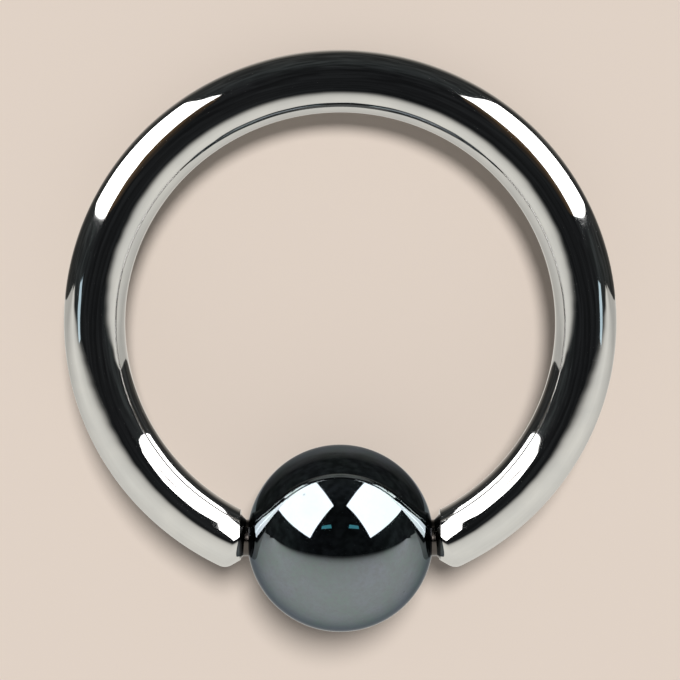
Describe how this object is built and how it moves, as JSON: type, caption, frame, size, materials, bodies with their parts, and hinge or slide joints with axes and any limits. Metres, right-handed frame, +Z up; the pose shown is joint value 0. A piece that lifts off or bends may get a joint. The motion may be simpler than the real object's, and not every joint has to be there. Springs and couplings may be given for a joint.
{
  "type": "captive bead ring",
  "caption": "Captive bead ring for a body piercing: a hoop of round polished wire whose two ends hold a dimpled dark bead.",
  "frame": {"origin": "on the table, under the middle of the ring's overall footprint", "axes": "+Z up off the table, +Y from the bead towards the far side of the hoop, +X along the axis through the bead's two dimples"},
  "size_m": [0.0145, 0.0154, 0.005],
  "materials": {
    "ring_steel": "polished",
    "bead_hematite": "polished"
  },
  "bodies": {
    "ring": {"ring": "ring_steel"},
    "bead": {"bead": "bead_hematite"}
  },
  "joints": [
    {"name": "bead_turn", "type": "hinge", "parent": "ring", "child": "bead", "pos_m": [0, -0.00519, 0.0025], "axis": [1, 0, 0], "continuous": true}
  ]
}
